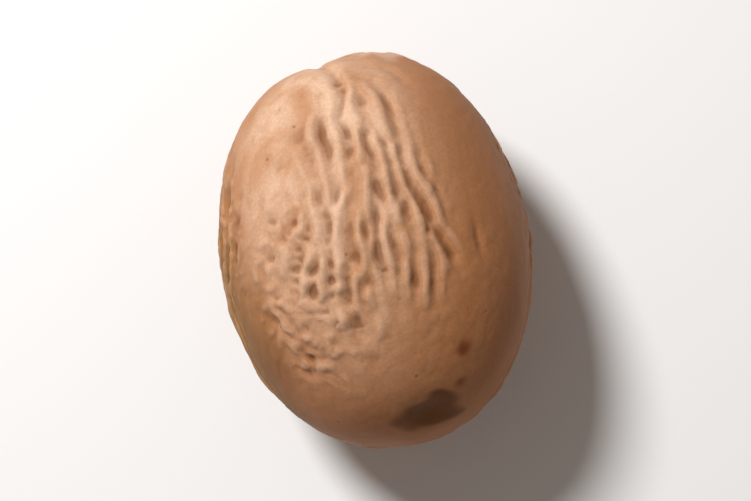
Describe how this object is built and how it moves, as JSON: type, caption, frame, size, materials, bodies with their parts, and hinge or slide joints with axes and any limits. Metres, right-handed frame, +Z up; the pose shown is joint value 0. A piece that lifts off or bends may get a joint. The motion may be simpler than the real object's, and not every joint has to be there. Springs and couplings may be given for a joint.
{
  "type": "whole nutmeg",
  "caption": "Whole dried nutmeg seed, an egg shape with lengthwise wrinkles, a dimple at one end and a small boss at the other, lying on its side.",
  "frame": {"origin": "centre of the seed's box, on the small worn flat that it rests on", "axes": "+Y along the seed towards its blunt end with the hilum, +Z up"},
  "size_m": [0.0204, 0.0258, 0.0195],
  "materials": {
    "seed_coat": "dry and dull, with darker furrows"
  },
  "bodies": {
    "root": {"nutmeg": "seed_coat"}
  },
  "joints": []
}
